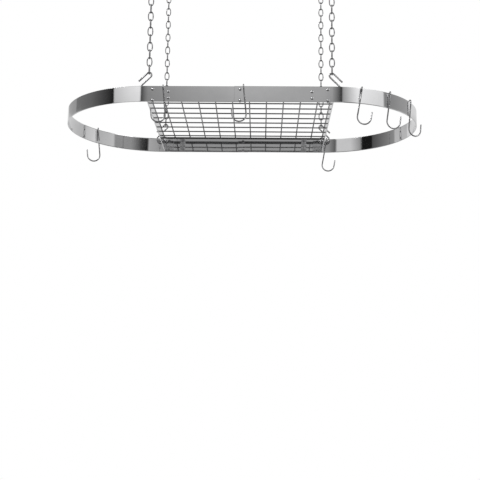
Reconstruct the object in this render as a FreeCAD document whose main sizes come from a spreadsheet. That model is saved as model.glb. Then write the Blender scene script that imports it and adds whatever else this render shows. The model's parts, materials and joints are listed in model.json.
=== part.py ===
import FreeCAD, Part
import math
import os

import Sketcher
from FreeCAD import Placement, Rotation, Vector

# Hanging oval pot rack: a flat band in two lapped halves, two end cross bars, a loose wire
# grid on four clips, four link chains on ceiling screw hooks, and hooks that slide on the band.
# Millimetres. The origin is the middle of the ceiling plane, +Z up, +X along the rack.

doc = FreeCAD.newDocument("pot_rack")

# ---------------------------------------------------------------- driving dimensions
SIZES = [
    ("rack_length", 838, "outside length of the oval band"),
    ("band_radius", 215, "outside radius of each rounded end of a band half"),
    ("band_height", 36, "height of the band strip"),
    ("band_wall", 2, "thickness of the band strip"),
    ("lap_length", 26, "overlap of the two band halves, front and rear"),
    ("bar_outset", 3, "outer face of an end cross bar past the start of the rounded end"),
    ("bar_wall", 2, "thickness of the cross bar strip"),
    ("bar_height", 32.5, "height of the cross bar strip"),
    ("bar_flange", 24, "length of the turned ends of a cross bar"),
    ("bar_bend", 2, "inside radius of the cross bar's bends"),
    ("bolt_sink", 2, "bolt pairs sit this much below the middle of the band"),
    ("bar_bolt_inset", 13, "bolt pair of a cross bar inside its outer face"),
    ("bar_bolt_gap", 25, "height between the bolts of a cross bar or lap pair"),
    ("clip_inset", 47, "bolt pair of a grid clip inside the end rim wire"),
    ("clip_bolt_gap", 15, "height between the bolts of a clip pair"),
    ("clip_width", 14, "width of a grid clip"),
    ("clip_wall", 1.5, "thickness of a grid clip"),
    ("clip_drop", 28.5, "height of a grid clip's upright leg"),
    ("clip_lip", 3.5, "level leg of a grid clip beyond the rim wire that rests on it"),
    ("clip_bend", 0.8, "inside radius of a grid clip's bend"),
    ("grid_rest", 11.3, "tops of the clips and of the bars' seats above the middle of the band"),
    ("seat_play", 3.5, "a bar's seat for the grid longer than the grid's width, at each end"),
    ("shank_radius", 2, "radius of a bolt's shank"),
    ("shank_spare", 1.4, "bolt end standing out of its nut"),
    ("head_radius", 3.3, "radius of a domed bolt head"),
    ("head_rise", 2.1, "height of a domed bolt head"),
    ("hole_play", 0.3, "bolt hole radius over the shank radius"),
    ("nut_radius", 4, "radius of a hexagon nut over its corners"),
    ("nut_height", 3.2, "height of a hexagon nut"),
    ("nut_play", 0.05, "nut bore radius over the shank radius"),
    ("grid_side_gap", 15.5, "gap from a side of the grid to the inner lap of the band"),
    ("grid_corner", 12, "centre radius of the rim's corners"),
    ("rim_radius", 2.5, "radius of the rim wire"),
    ("grid_wire", 1.5, "radius of the grid's inner wires"),
    ("grid_end_margin", 29.6, "outermost cross wires from the end rim wires"),
    ("grid_side_margin", 17.6, "outermost long wires from the side rim wires"),
    ("grid_count", 10, "inner wires each way"),
    ("rest_gap", 0.1, "gap under a piece that rests and can be lifted"),
    ("chain_end_inset", 3, "chains inside the outer faces of the cross bars"),
    ("chain_side_inset", 10, "chains inside the inner face of the band"),
    ("link_count", 21, "links in each chain, an odd number"),
    ("link_pitch", 18, "spacing of the links"),
    ("link_wire", 1.25, "radius of the link wire"),
    ("link_width", 10.8, "link width between wire centres"),
    ("link_gap", 0.2, "gap between round wires that pull on each other"),
    ("ceiling_wire", 2.5, "radius of the ceiling hook wire"),
    ("ceiling_loop", 10, "centre radius of the ceiling hook's loop"),
    ("ceiling_drop", 38, "ceiling to the wire centre at the loop's lowest point"),
    ("ceiling_bend", 6, "centre radius of the bend under a ceiling hook's collar"),
    ("ceiling_lip", 40, "rise of a ceiling hook's tip above its loop's middle in degrees"),
    ("screw_length", 35, "screw of a ceiling hook above the ceiling plane"),
    ("collar_radius", 6.5, "radius of a ceiling hook's collar"),
    ("collar_height", 2.5, "height of a ceiling hook's collar"),
    ("hanger_wire", 2, "radius of the chain hook wire"),
    ("hanger_rise", 47, "centre of a chain hook's bend above the middle of the band"),
    ("hanger_bend", 5.6, "centre radius of a chain hook's bend"),
    ("hanger_knee", 8, "centre radius of a chain hook's knee"),
    ("hanger_slope", 45, "slope of a chain hook's long leg in degrees"),
    ("hanger_hole", 7, "hole for a chain hook above the middle of the band"),
    ("hanger_play", 0.4, "that hole's radius over the wire radius"),
    ("hanger_free", 27, "length of a chain hook's free leg"),
    ("hanger_tail_bend", 3, "centre radius of the bend at that end"),
    ("hanger_tail", 6, "turned-up end of a chain hook inside its cross bar"),
    ("hanger_inset", 3.5, "wire centre of that end from the cross bar's inner face"),
    ("hook_wire", 1.6, "radius of the pot hook wire"),
    ("hook_gap", 10, "pot hook hairpin, between wire centres"),
    ("hook_inner_leg", 29, "straight inner leg of a pot hook"),
    ("hook_outer_leg", 64, "straight outer leg of a pot hook"),
    ("hook_bend", 15.5, "centre radius of a pot hook's lower bend"),
    ("hook_free_leg", 16, "straight free leg of a pot hook"),
    ("bend_steps", 6, "corners in a half turn of hook wire"),
    ("link_steps", 4, "corners in a half turn of link wire, an even number"),
]

# Pot hooks on the front run: the distance from the start of the left rounded end or from the
# middle, the lean in degrees, and +1 or -1 for the way the lower bend points along the band.
FRONT_HOOKS = [
    ("front_left", "left_end", 33.0, 5.5, -1),
    ("front_middle", "middle", 7.5, 5.5, -1),
]
for name, start, distance, lean_angle, way in FRONT_HOOKS:
    SIZES.append((f"{name}_distance", distance, f"pot hook {name} from the {start}"))
    SIZES.append((f"{name}_lean_angle", lean_angle, f"lean of pot hook {name} in degrees"))
    SIZES.append((f"{name}_way", way, f"way the lower bend of pot hook {name} points"))

# Pot hooks on the rounded ends: the place in degrees about the centre of that end, the swivel
# about the band's upright and the lean, both in degrees, and the way of the lower bend.
ROUND_HOOKS = [
    ("right_first", "right", -72.2, -10, 10, 1),
    ("right_second", "right", -52.2, -25, 8, 1),
    ("right_third", "right", -30.5, -36, 5.5, 1),
    ("rear_left", "left", 140.8, -38, 6, 1),
    ("rear_right", "right", 86.0, 0, 10, -1),
]
for name, half, angle, swivel_angle, lean_angle, way in ROUND_HOOKS:
    SIZES.append((f"{name}_angle", angle, f"pot hook {name} about the {half} end, in degrees"))
    SIZES.append((f"{name}_swivel_angle", swivel_angle, f"swivel of pot hook {name} in degrees"))
    SIZES.append((f"{name}_lean_angle", lean_angle, f"lean of pot hook {name} in degrees"))
    SIZES.append((f"{name}_way", way, f"way the lower bend of pot hook {name} points"))

sheet = doc.addObject("Spreadsheet::Sheet", "Sizes")
for row, (alias, value, meaning) in enumerate(SIZES, start=1):
    sheet.set(f"A{row}", meaning)
    sheet.set(f"B{row}", str(value))
    sheet.setAlias(f"B{row}", alias)
doc.recompute()


def size(alias):
    return float(sheet.get(alias))


def evaluate(expression):
    """The present value of an expression over the sheet."""
    return float(sheet.evalExpression(expression))


HALF_TURNS = {"right": 0, "left": 180}
CORNERS = {
    "front_left": (-1, -1),
    "front_right": (1, -1),
    "rear_left": (-1, 1),
    "rear_right": (1, 1),
}

# The two halves are alike. Each is shifted by half a wall, so that its front end laps outside
# the other half and its rear end laps inside.
HALF_SHIFT = "(-Sizes.band_wall / 2)"
ARC_CENTRE = "(Sizes.rack_length / 2 - Sizes.band_radius)"
INNER_RADIUS = "(Sizes.band_radius - Sizes.band_wall)"
HOLE_RADIUS = "(Sizes.shank_radius + Sizes.hole_play)"
BAR_PLACE = f"({ARC_CENTRE} + Sizes.bar_outset)"
BAR_BOLT_PLACE = f"({BAR_PLACE} - Sizes.bar_bolt_inset)"
GRID_HALF_LENGTH = f"({BAR_PLACE} - Sizes.bar_wall / 2)"
GRID_HALF_WIDTH = (
    f"({INNER_RADIUS} - Sizes.band_wall / 2 - Sizes.grid_side_gap - Sizes.rim_radius)"
)
CLIP_PLACE = f"({GRID_HALF_LENGTH} - Sizes.clip_inset)"
CLIP_REACH = "(Sizes.grid_side_gap + 2 * Sizes.rim_radius + Sizes.clip_lip)"
CHAIN_PLACE_Y = f"({INNER_RADIUS} - Sizes.chain_side_inset)"
DROP = (
    "(Sizes.ceiling_drop - Sizes.ceiling_wire - Sizes.hanger_wire - Sizes.link_gap"
    " + Sizes.link_count * Sizes.link_pitch + Sizes.hanger_rise + Sizes.hanger_bend)"
)

arc_centre = size("rack_length") / 2 - size("band_radius")
half_shift = -size("band_wall") / 2
band_middle = size("band_radius") - size("band_wall") / 2
bar_place = evaluate(BAR_PLACE)
bar_bolt_place = evaluate(BAR_BOLT_PLACE)
clip_place = evaluate(CLIP_PLACE)
chain_place_x = bar_place - size("chain_end_inset")
chain_place_y = evaluate(CHAIN_PLACE_Y)
drop = (
    size("ceiling_drop") - size("ceiling_wire") - size("hanger_wire") - size("link_gap")
    + size("link_count") * size("link_pitch") + size("hanger_rise") + size("hanger_bend")
)

# Faces around each kind of wire, bolt and hole.
HOOK_SIDES = 8
HANGER_SIDES = 6
LINK_SIDES = 4
GRID_SIDES = 6
COLLAR_SIDES = 10
BOLT_SIDES = 6
DOME_STEPS = 2
HOLE_SIDES = 6

subparts = {}


# ---------------------------------------------------------------- helpers
def bind(thing, expressions):
    """Set properties of an object from the sheet."""
    for path, expression in expressions.items():
        thing.setExpression(path, expression)
    return thing


def keep(label, thing):
    """Take an object as a finished sub-part under its own label."""
    thing.Label = label
    subparts[label] = thing
    return thing


def shaped(label, shape, placement=Placement()):
    """A sub-part whose shape is made by Part's own functions."""
    thing = doc.addObject("Part::Feature", label)
    thing.Shape = shape
    thing.Placement = placement
    return keep(label, thing)


def box(name, corner, lengths):
    """A block from its lowest corner and its three lengths, all given as expressions."""
    block = doc.addObject("Part::Box", name)
    bind(block, dict(zip(("Length", "Width", "Height"), lengths)))
    bind(block, dict(zip(("Placement.Base.x", "Placement.Base.y", "Placement.Base.z"), corner)))
    return block


def drill(name, radius, length, place, direction):
    """A many-sided cutter round the given radius, along +Y or +X from its start point."""
    cutter = doc.addObject("Part::Prism", name)
    cutter.Polygon = HOLE_SIDES
    turns = {"Y": Rotation(Vector(1, 0, 0), -90), "X": Rotation(Vector(0, 1, 0), 90)}
    cutter.Placement = Placement(Vector(), turns[direction])
    bind(cutter, {"Circumradius": f"({radius}) / cos(180deg / {HOLE_SIDES})", "Height": length})
    bind(cutter, dict(zip(("Placement.Base.x", "Placement.Base.y", "Placement.Base.z"), place)))
    return cutter


def cut(name, base, tools):
    """Base less all the tools."""
    joined = tools[0]
    if len(tools) > 1:
        joined = doc.addObject("Part::MultiFuse", name + "_tools")
        joined.Shapes = tools
    result = doc.addObject("Part::Cut", name)
    result.Base = base
    result.Tool = joined
    return result


def hang_from_ceiling(thing, turn=0):
    """Turn a piece built about the middle of the band and lower it to the band's height."""
    thing.Placement = Placement(Vector(), Rotation(Vector(0, 0, 1), turn))
    thing.setExpression("Placement.Base.z", "-" + DROP)


def padded_profile(name, plane, corners, width):
    """A body padded both ways from a closed sketch whose corners are bound to the sheet."""
    body = doc.addObject("PartDesign::Body", name)
    sketch = body.newObject("Sketcher::SketchObject", name + "_sketch")
    origin_plane = [f for f in body.Origin.OriginFeatures if f.Role == plane][0]
    sketch.AttachmentSupport = [(origin_plane, "")]
    sketch.MapMode = "FlatFace"
    count = len(corners)
    # A rough start outline in the right order; the constraints below give the true one.
    rough = [Vector(evaluate(across), evaluate(up), 0) for across, up in corners]
    for index in range(count):
        sketch.addGeometry(Part.LineSegment(rough[index], rough[(index + 1) % count]), False)
    for index in range(count):
        sketch.addConstraint(
            Sketcher.Constraint("Coincident", index, 2, (index + 1) % count, 1))
    for index, (across, up) in enumerate(corners):
        for kind, expression in (("DistanceX", across), ("DistanceY", up)):
            value = evaluate(expression)
            number = sketch.addConstraint(Sketcher.Constraint(kind, -1, 1, index, 1, value))
            sketch.setExpression(f"Constraints[{number}]", expression)
    pad = body.newObject("PartDesign::Pad", name + "_pad")
    pad.Profile = sketch
    pad.Midplane = True
    pad.setExpression("Length", width)
    body.Tip = pad
    doc.recompute()
    return body, pad


def round_bends(body, pad, bends):
    """Fillet the pad's long edges that pass through the given points, each with its radius."""
    base = pad
    for number, (point, radius) in enumerate(bends):
        names = [
            f"Edge{index}" for index, edge in enumerate(base.Shape.Edges, start=1)
            if edge.distToShape(Part.Vertex(point))[0] < 0.01
            and len(edge.Vertexes) == 2
            and edge.CenterOfMass.distanceToPoint(point) < 0.01
        ]
        fillet = body.newObject("PartDesign::Fillet", f"{body.Name}_bend{number}")
        fillet.Base = (base, names)
        fillet.setExpression("Radius", radius)
        body.Tip = fillet
        doc.recompute()
        base = fillet
    return body


def bend_points(centre, start, axis, turn, corners):
    """Corners of straight runs that touch an arc from outside, at its two ends and between."""
    reach = 1 / math.cos(math.radians(turn / corners / 2))
    points = []
    for index in range(corners):
        spin = Rotation(axis, turn * (index + 0.5) / corners)
        points.append(centre + spin.multVec(start) * reach)
    return points


def rounded(corners, radii, steps):
    """A path through corner points, each inner corner rounded by an arc of its radius."""
    path = [corners[0]]
    for index, radius in enumerate(radii, start=1):
        arriving = (corners[index] - corners[index - 1]).normalize()
        leaving = (corners[index + 1] - corners[index]).normalize()
        turn = arriving.getAngle(leaving)
        axis = arriving.cross(leaving).normalize()
        start = corners[index] - arriving * (radius * math.tan(turn / 2))
        inward = axis.cross(arriving)
        centre = start + inward * radius
        bends = max(2, round(steps * turn / math.pi))
        path += bend_points(centre, start - centre, axis, math.degrees(turn), bends)
    path.append(corners[-1])
    return path


def wire_corner(radius, sides):
    """Corner distance of a many-sided section with the area of a round wire."""
    return radius * math.sqrt(2 * math.pi / (sides * math.sin(2 * math.pi / sides)))


def bent_wire(points, radius, sides, closed=False):
    """A wire along straight runs with mitred corners and a many-sided section."""
    corner = wire_corner(radius, sides)
    count = len(points)
    run_count = count if closed else count - 1
    runs = []
    for index in range(run_count):
        runs.append((points[(index + 1) % count] - points[index]).normalize())
    helper = Vector(0, 1, 0) if abs(runs[0].y) < 0.9 else Vector(1, 0, 0)
    across = runs[0].cross(helper).normalize()
    upward = runs[0].cross(across)
    spread = []
    for side in range(sides):
        angle = 2 * math.pi * (side + 0.5) / sides
        spread.append(across * (corner * math.cos(angle)) + upward * (corner * math.sin(angle)))
    rings = []
    for index in range(count):
        arriving = runs[index - 1] if (closed or index > 0) else runs[0]
        leaving = runs[index] if index < run_count else runs[-1]
        if index > 0:
            turn = Rotation(arriving, leaving)
            turned = [turn.multVec(offset) for offset in spread]
        else:
            turned = spread
        mitre = (arriving + leaving).normalize()
        rings.append([
            points[index] + offset - leaving * (offset.dot(mitre) / leaving.dot(mitre))
            for offset in turned
        ])
        spread = turned
    return ringed_solid(rings, closed)


def ringed_solid(rings, closed=False):
    """A solid of flat faces between rings of as many corners each."""
    faces = []
    count = len(rings)
    sides = len(rings[0])
    for index in range(count if closed else count - 1):
        near = rings[index]
        far = rings[(index + 1) % count]
        for side in range(sides):
            after = (side + 1) % sides
            outline = [near[side], near[after], far[after], far[side], near[side]]
            faces.append(Part.Face(Part.makePolygon(outline)))
    if not closed:
        for ring in (rings[0], rings[-1]):
            faces.append(Part.Face(Part.makePolygon(ring + [ring[0]])))
    solid = Part.makeSolid(Part.makeShell(faces))
    if solid.Volume < 0:
        solid.reverse()
    return solid


def placed_copies(solid, placements):
    """A group of separate, equal solids."""
    copies = []
    for placement in placements:
        copy = solid.copy()
        copy.Placement = placement
        copies.append(copy)
    return Part.makeCompound(copies)


# ---------------------------------------------------------------- band halves
def band_half(half, turn):
    """Half of the oval band: a rounded end with straight sides up to the laps."""
    label = f"band_{half}"
    low = "(-Sizes.band_height / 2)"
    slabs = []
    for skin, radius in (("outer", "Sizes.band_radius"), ("inner", INNER_RADIUS)):
        end = doc.addObject("Part::Cylinder", f"{label}_{skin}_end")
        end.Angle = 180
        end.Placement = Placement(Vector(), Rotation(Vector(0, 0, 1), -90))
        bind(end, {
            "Radius": radius, "Height": "Sizes.band_height",
            "Placement.Base.x": ARC_CENTRE, "Placement.Base.y": HALF_SHIFT,
            "Placement.Base.z": low,
        })
        sides = box(
            f"{label}_{skin}_sides",
            ("-Sizes.lap_length / 2", f"{HALF_SHIFT} - {radius}", low),
            (f"{ARC_CENTRE} + Sizes.lap_length / 2", f"2 * {radius}", "Sizes.band_height"))
        slab = doc.addObject("Part::MultiFuse", f"{label}_{skin}")
        slab.Shapes = [end, sides]
        slab.Refine = True
        slabs.append(slab)
    strip = cut(f"{label}_strip", slabs[0], [slabs[1]])
    drills = []
    for place, gap in bolt_rows():
        for sign in ("+", "-"):
            drills.append(drill(
                f"{label}_drill", HOLE_RADIUS, "3 * Sizes.band_radius",
                (place, "-1.5 * Sizes.band_radius", f"{sign}{gap} / 2 - Sizes.bolt_sink"), "Y"))
    band = cut(label, strip, drills)
    hang_from_ceiling(band, turn)
    return keep(label, band)


def bolt_rows():
    """The places along one half, and the height gaps, of its bolt pairs."""
    return (
        ("0", "Sizes.bar_bolt_gap"),
        (CLIP_PLACE, "Sizes.clip_bolt_gap"),
        (BAR_BOLT_PLACE, "Sizes.bar_bolt_gap"),
    )


# ---------------------------------------------------------------- end cross bars
def cross_bar(half, turn):
    """A strip on edge across the band, its ends turned inward, its top cut down for the grid."""
    label = f"cross_bar_{half}"
    outer_x = BAR_PLACE
    inner_x = f"({BAR_PLACE} - Sizes.bar_wall)"
    flange_x = f"({BAR_PLACE} - Sizes.bar_flange)"
    front = f"({HALF_SHIFT} - {INNER_RADIUS})"
    rear = f"({HALF_SHIFT} + {INNER_RADIUS})"
    corners = [
        (outer_x, front), (outer_x, rear), (flange_x, rear),
        (flange_x, f"({rear} - Sizes.bar_wall)"), (inner_x, f"({rear} - Sizes.bar_wall)"),
        (inner_x, f"({front} + Sizes.bar_wall)"), (flange_x, f"({front} + Sizes.bar_wall)"),
        (flange_x, front),
    ]
    body, pad = padded_profile(label + "_body", "XY_Plane", corners, "Sizes.bar_height")
    outer_bend = "Sizes.bar_bend + Sizes.bar_wall"
    bends = []
    for index, radius in ((0, outer_bend), (1, outer_bend), (4, "Sizes.bar_bend"),
                          (5, "Sizes.bar_bend")):
        x, y = corners[index]
        bends.append((Vector(evaluate(x), evaluate(y), 0), radius))
    round_bends(body, pad, bends)
    tools = []
    for sign in ("+", "-"):
        tools.append(drill(
            f"{label}_drill", HOLE_RADIUS, "3 * Sizes.band_radius",
            (BAR_BOLT_PLACE, "-1.5 * Sizes.band_radius",
             f"{sign}Sizes.bar_bolt_gap / 2 - Sizes.bolt_sink"), "Y"))
        tools.append(drill(
            f"{label}_hanger_drill", "Sizes.hanger_wire + Sizes.hanger_play",
            "3 * Sizes.bar_wall",
            (f"{BAR_PLACE} - 2 * Sizes.bar_wall", f"{sign}{CHAIN_PLACE_Y}",
             "Sizes.hanger_hole"), "X"))
    seat = f"({GRID_HALF_WIDTH} + Sizes.rim_radius + Sizes.seat_play)"
    tools.append(box(
        f"{label}_seat", (f"{BAR_PLACE} - 2 * Sizes.bar_wall", f"-{seat}", "Sizes.grid_rest"),
        ("3 * Sizes.bar_wall", f"2 * {seat}", "Sizes.bar_height")))
    bar = cut(label, body, tools)
    hang_from_ceiling(bar, turn)
    return keep(label, bar)


# ---------------------------------------------------------------- grid clips
def grid_clip(corner, side_x, side_y):
    """An angle of strip bolted inside the band; the grid's rim rests on its level leg."""
    label = f"grid_clip_{corner}"
    face = f"({INNER_RADIUS} + {HALF_SHIFT} * {side_x * side_y})"
    top = "Sizes.grid_rest"
    corners = [
        (face, f"({top} - Sizes.clip_drop)"), (face, top),
        (f"({face} - {CLIP_REACH})", top),
        (f"({face} - {CLIP_REACH})", f"({top} - Sizes.clip_wall)"),
        (f"({face} - Sizes.clip_wall)", f"({top} - Sizes.clip_wall)"),
        (f"({face} - Sizes.clip_wall)", f"({top} - Sizes.clip_drop)"),
    ]
    body, pad = padded_profile(label + "_body", "YZ_Plane", corners, "Sizes.clip_width")
    bends = []
    for index, radius in ((1, "Sizes.clip_bend + Sizes.clip_wall"), (4, "Sizes.clip_bend")):
        y, z = corners[index]
        bends.append((Vector(0, evaluate(y), evaluate(z)), radius))
    round_bends(body, pad, bends)
    tools = []
    for sign in ("+", "-"):
        tools.append(drill(
            f"{label}_drill", HOLE_RADIUS, "3 * Sizes.clip_wall",
            ("0", f"{face} - 2 * Sizes.clip_wall",
             f"{sign}Sizes.clip_bolt_gap / 2 - Sizes.bolt_sink"), "Y"))
    clip = cut(label, body, tools)
    clip.Placement = Placement(Vector(), Rotation(Vector(0, 0, 1), 0 if side_y > 0 else 180))
    clip.setExpression("Placement.Base.x", f"{side_x} * {CLIP_PLACE}")
    clip.setExpression("Placement.Base.z", "-" + DROP)
    return keep(label, clip)


# ---------------------------------------------------------------- bolts and nuts
def turned_solid(profile, sides):
    """A many-sided solid about +Y through rings, each given by its radius and place."""
    rings = []
    for radius, place in profile:
        ring = []
        for side in range(sides):
            spin = Rotation(Vector(0, 1, 0), 360 * side / sides)
            ring.append(spin.multVec(Vector(radius, 0, 0)) + Vector(0, place, 0))
        rings.append(ring)
    return ringed_solid(rings)


def bolt_solid(grip):
    """A domed bolt along +Y, its head's flat face at the origin."""
    rise = size("head_rise")
    ball = (size("head_radius") ** 2 + rise ** 2) / (2 * rise)
    edge = math.asin(size("head_radius") / ball)
    profile = []
    for step in range(1, DOME_STEPS + 1):
        angle = edge * step / DOME_STEPS
        profile.append((ball * math.sin(angle), ball - rise - ball * math.cos(angle)))
    shank = wire_corner(size("shank_radius"), BOLT_SIDES)
    profile.append((shank, 0))
    profile.append((shank, grip + size("nut_height") + size("shank_spare")))
    return turned_solid(profile, BOLT_SIDES)


def nut_solid(grip):
    """A hexagon nut along +Y behind the clamped strips."""
    far = grip + size("nut_height")
    hexagon = turned_solid([(size("nut_radius"), grip), (size("nut_radius"), far)], 6)
    bore = wire_corner(size("shank_radius"), BOLT_SIDES) + size("nut_play")
    return hexagon.cut(turned_solid([(bore, grip - 1), (bore, far + 1)], BOLT_SIDES))


def bolt_group(name, along, gap, grip):
    """Bolts and nuts of one kind of joint, in the front and the rear of the band."""
    placements = []
    for x in along:
        for side_y in (-1, 1):
            outside_half = 1 if (x > 0 or (x == 0 and side_y < 0)) else -1
            face = size("band_radius") + half_shift * outside_half * side_y
            for sign in (1, -1):
                place = Vector(x, side_y * face, sign * gap / 2 - size("bolt_sink") - drop)
                turn = Rotation(Vector(0, 0, 1), 0 if side_y < 0 else 180)
                placements.append(Placement(place, turn))
    shaped(f"{name}_bolts", placed_copies(bolt_solid(grip), placements))
    shaped(f"{name}_nuts", placed_copies(nut_solid(grip), placements))


# ---------------------------------------------------------------- wire grid
def wire_grid():
    """A rim of heavier wire, with long wires lying on cross wires inside it."""
    half_x = evaluate(GRID_HALF_LENGTH)
    half_y = evaluate(GRID_HALF_WIDTH)
    level = size("grid_rest") + size("rest_gap") + size("rim_radius") - drop
    radius = size("grid_corner")
    steps = int(size("bend_steps"))
    path = []
    for sign_x, sign_y, start in ((1, 1, 0), (-1, 1, 90), (-1, -1, 180), (1, -1, 270)):
        centre = Vector(sign_x * (half_x - radius), sign_y * (half_y - radius), level)
        first = Rotation(Vector(0, 0, 1), start).multVec(Vector(radius, 0, 0))
        path += bend_points(centre, first, Vector(0, 0, 1), 90, steps // 2)
    rim = bent_wire(path, size("rim_radius"), HOOK_SIDES, closed=True)
    shaped("grid_rim", rim)

    count = int(size("grid_count"))
    wire = size("grid_wire")
    lie = wire_corner(wire, GRID_SIDES) * math.cos(math.pi / GRID_SIDES)
    long_wires = []
    cross_wires = []
    for index in range(count):
        share = 2 * index / (count - 1) - 1
        place = share * (half_y - size("grid_side_margin"))
        ends = [Vector(-half_x, place, level + lie), Vector(half_x, place, level + lie)]
        long_wires.append(bent_wire(ends, wire, GRID_SIDES))
        place = share * (half_x - size("grid_end_margin"))
        ends = [Vector(place, -half_y, level - lie), Vector(place, half_y, level - lie)]
        cross_wires.append(bent_wire(ends, wire, GRID_SIDES))
    for label, wires in (("grid_long_wires", long_wires), ("grid_cross_wires", cross_wires)):
        shaped(label, Part.makeCompound([solid.cut(rim).Solids[0] for solid in wires]))


# ---------------------------------------------------------------- chains
def link_solid():
    """One oval link in the XZ plane, its top wire centre at the origin."""
    half = size("link_width") / 2
    length = size("link_pitch") + size("link_gap") + 2 * size("link_wire")
    steps = int(size("link_steps"))
    over = bend_points(Vector(0, 0, -half), Vector(-half, 0, 0), Vector(0, 1, 0), 180, steps)
    under = bend_points(Vector(0, 0, half - length), Vector(half, 0, 0), Vector(0, 1, 0), 180,
                        steps)
    return bent_wire(over + under, size("link_wire"), LINK_SIDES, closed=True)


def chain(corner, side_x, side_y):
    """Links turned by a quarter each time; the end links stand across the rack."""
    link = link_solid()
    count = int(size("link_count"))
    top = (size("ceiling_wire") + size("link_wire") + size("link_gap")
           - size("ceiling_drop"))
    placements = []
    for index in range(count):
        place = Vector(side_x * chain_place_x, side_y * chain_place_y,
                       top - index * size("link_pitch"))
        turn = Rotation(Vector(0, 0, 1), 90 if index % 2 == 0 else 0)
        placements.append(Placement(place, turn))
    shaped(f"top_link_{corner}", link, placements[0])
    shaped(f"chain_{corner}", placed_copies(link, placements[1:-1]))
    shaped(f"bottom_link_{corner}", link, placements[-1])


# ---------------------------------------------------------------- ceiling hooks
def ceiling_hook(corner, side_x, side_y):
    """A screw hook: a plain screw above the ceiling plane, a collar and an open loop."""
    wire = size("ceiling_wire")
    loop = size("ceiling_loop")
    bend = size("ceiling_bend")
    steps = int(size("bend_steps"))
    centre = Vector(0, 0, loop - size("ceiling_drop"))
    # The neck swings off the screw's axis, so that the loop's lowest point lies under the screw.
    rise = math.sqrt((loop + bend) ** 2 - bend ** 2)
    swing = math.degrees(math.atan2(rise, bend))
    neck_centre = centre + Vector(-bend, 0, rise)
    around = Vector(0, -1, 0)
    neck = bend_points(neck_centre, Vector(bend, 0, 0), -around, swing, steps // 2)
    down = bend_points(centre, (neck_centre - centre).normalize() * loop, around, 90 + swing,
                       steps - 1)
    lowest = Vector(0, 0, -loop)
    lip = 90 + size("ceiling_lip")
    up = bend_points(centre, lowest, around, lip, steps - 2)
    tip = centre + Rotation(around, lip).multVec(lowest)
    path = [Vector(0, 0, -size("collar_height") / 2)] + neck + down + up + [tip]
    hook = bent_wire(path, wire, HANGER_SIDES)
    collar_radius = size("collar_radius")
    collar = turned_solid([(collar_radius, 0), (collar_radius, size("collar_height"))],
                          COLLAR_SIDES)
    collar.rotate(Vector(), Vector(1, 0, 0), -90)
    screw = Part.makeCylinder(wire, size("screw_length"))
    shape = collar.fuse([screw, hook]).removeSplitter()
    place = Vector(side_x * chain_place_x, side_y * chain_place_y, 0)
    turn = Rotation(Vector(0, 0, 1), 0 if side_x > 0 else 180)
    shaped(f"ceiling_hook_{corner}", shape.Solids[0], Placement(place, turn))


# ---------------------------------------------------------------- chain hooks on the cross bars
def chain_hook(corner, side_x, side_y):
    """A wire hook from a hole in the cross bar, out past the bar and back up to the chain."""
    slope = math.radians(size("hanger_slope"))
    bend = size("hanger_bend")
    steps = int(size("bend_steps"))
    hole = size("hanger_hole")
    inner = bar_place - size("bar_wall") - size("hanger_inset")
    centre = Vector(chain_place_x, 0, size("hanger_rise"))
    around = Vector(0, 1, 0)
    downhill = Vector(math.cos(slope), 0, -math.sin(slope))
    back = Vector(-math.sin(slope), 0, -math.cos(slope)) * bend
    leg_top = centre + back
    knee = leg_top + downhill * ((leg_top.z - hole) / math.sin(slope))
    tail = Vector(inner, 0, hole + size("hanger_tail"))
    path = rounded([tail, Vector(inner, 0, hole), knee, leg_top],
                   [size("hanger_tail_bend"), size("hanger_knee")], steps)
    path = path[:-1]
    path += bend_points(centre, back, around, 90 + size("hanger_slope"), steps - 2)
    path += bend_points(centre, Vector(0, 0, bend), around, 90 - size("hanger_slope"), 2)
    path.append(centre - back + downhill * size("hanger_free"))
    place = Vector(0, side_y * chain_place_y, -drop)
    turn = Rotation(Vector(0, 0, 1), 0 if side_x > 0 else 180)
    shaped(f"chain_hook_{corner}", bent_wire(path, size("hanger_wire"), HANGER_SIDES),
           Placement(place, turn))


# ---------------------------------------------------------------- pot hooks
def pot_hook(label, half_wall, swivel, lean, side, place, turn):
    """One piece of wire: a hairpin over the band, a long outer leg and a wide lower bend."""
    wire = size("hook_wire")
    half_gap = size("hook_gap") / 2
    bend = size("hook_bend")
    steps = int(size("bend_steps"))
    # The hairpin's underside rests on the edges of the band, at the flat of its section.
    flat = wire_corner(wire, HOOK_SIDES) * math.sin(math.pi / HOOK_SIDES)
    inside = half_gap - wire_corner(wire, HOOK_SIDES) * math.cos(math.pi / HOOK_SIDES)
    turned = math.radians(swivel)
    slant = math.tan(math.radians(lean))
    # A leg of a hook that is swivelled and leans nears the wall's foot, so it hangs off centre.
    stand_off = -side * size("band_height") * slant * math.sin(turned) / 2
    spread = (half_wall + abs(stand_off)) / math.cos(turned) + flat * abs(math.tan(turned))
    runs = [math.pi * index / steps for index in range(steps // 2)]
    clear = min((inside - spread * math.sin(run)) / math.cos(run) for run in runs)
    band_top = size("band_height") / 2
    seat = band_top - clear + size("rest_gap") + flat * slant
    over = bend_points(Vector(0, 0, seat), Vector(0, half_gap, 0), Vector(1, 0, 0), 180, steps)
    foot = Vector(0, -half_gap, seat - size("hook_outer_leg"))
    under = bend_points(foot + Vector(side * bend, 0, 0), Vector(-side * bend, 0, 0),
                        Vector(0, -side, 0), 180, steps + 2)
    path = [Vector(0, half_gap, seat - size("hook_inner_leg"))] + over + under
    path.append(foot + Vector(2 * side * bend, 0, size("hook_free_leg")))
    leaned = Placement(Vector(), Rotation(Vector(0, 1, 0), side * lean), Vector(0, 0, band_top))
    swivelled = Placement(Vector(0, -stand_off, 0), Rotation(Vector(0, 0, 1), swivel))
    hung = Placement(place, Rotation(Vector(0, 0, 1), turn))
    shaped(label, bent_wire(path, wire, HOOK_SIDES), hung * swivelled * leaned)


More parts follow.
